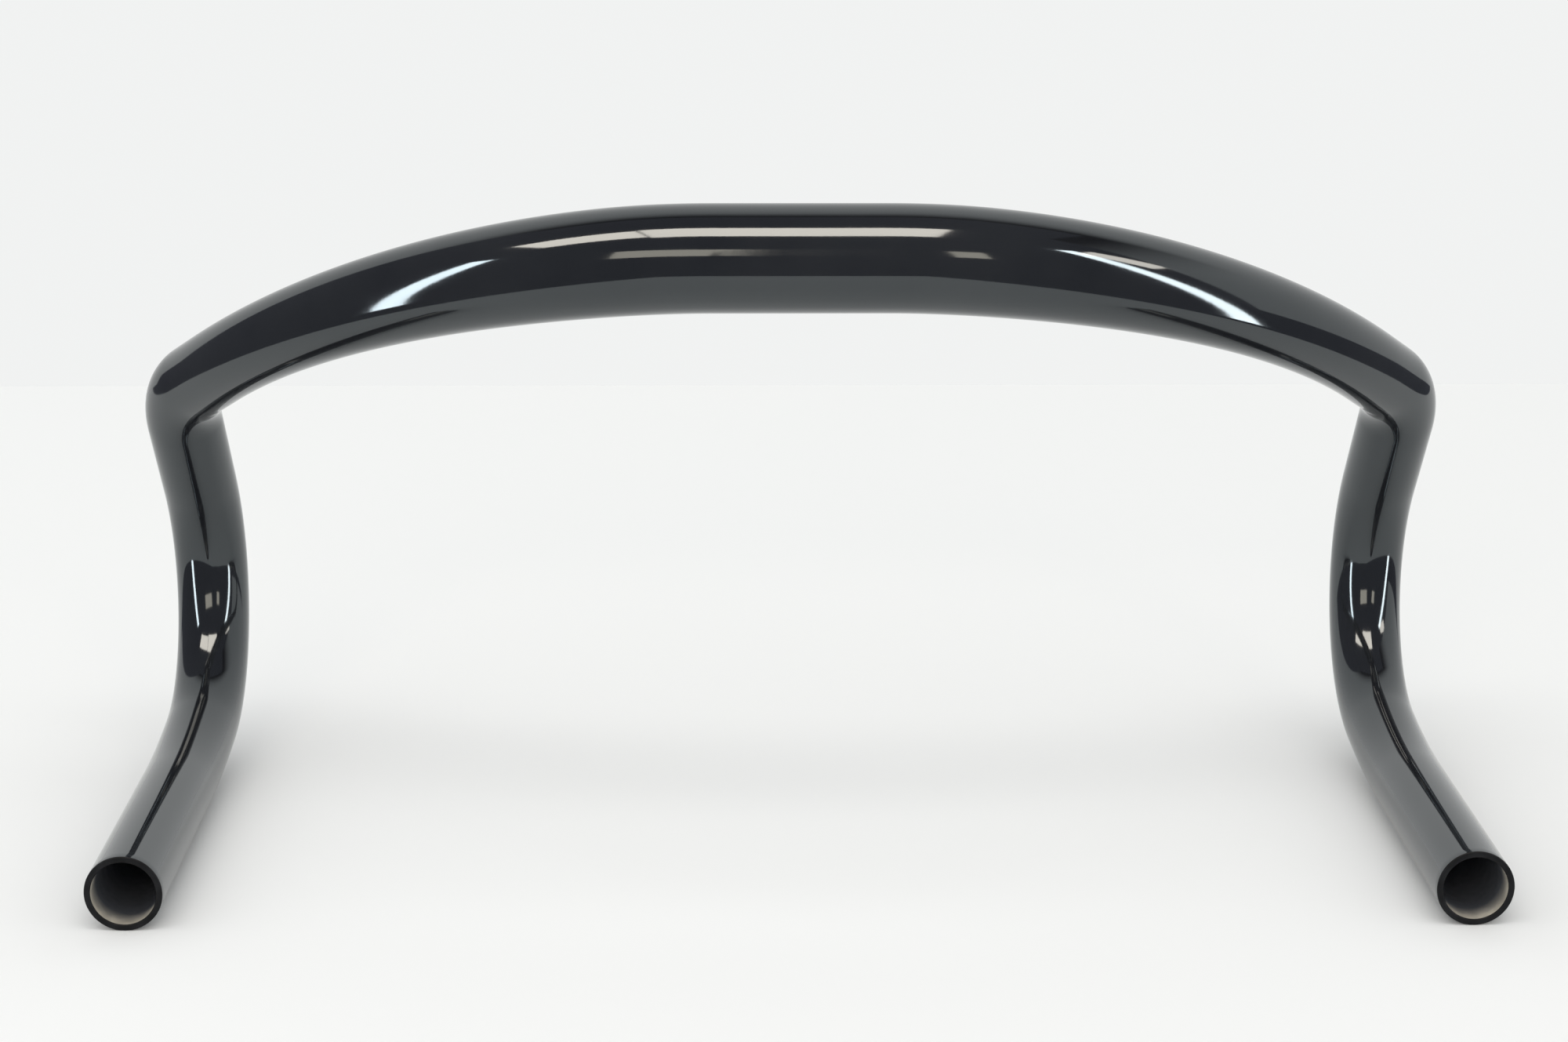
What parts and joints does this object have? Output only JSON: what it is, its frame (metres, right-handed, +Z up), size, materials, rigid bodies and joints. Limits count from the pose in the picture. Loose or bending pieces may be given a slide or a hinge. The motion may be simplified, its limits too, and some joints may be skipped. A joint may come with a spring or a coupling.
{
  "type": "track handlebar",
  "caption": "Track handlebar: a tapered tube that sweeps forward and down from the stem clamp zone, turns through deep hooks and runs back to level, open grips",
  "frame": {"origin": "the middle of the straight zone that the stem grips, on its axis", "axes": "+X across the bar to the rider's right; +Y forward, the way the tops sweep; +Z up, with the grips level. The open ends of the grips face -Y"},
  "size_m": [0.4112, 0.1841, 0.1968],
  "materials": {
    "black_coat": "gloss"
  },
  "bodies": {
    "root": {"handlebar": "black_coat"}
  },
  "joints": []
}
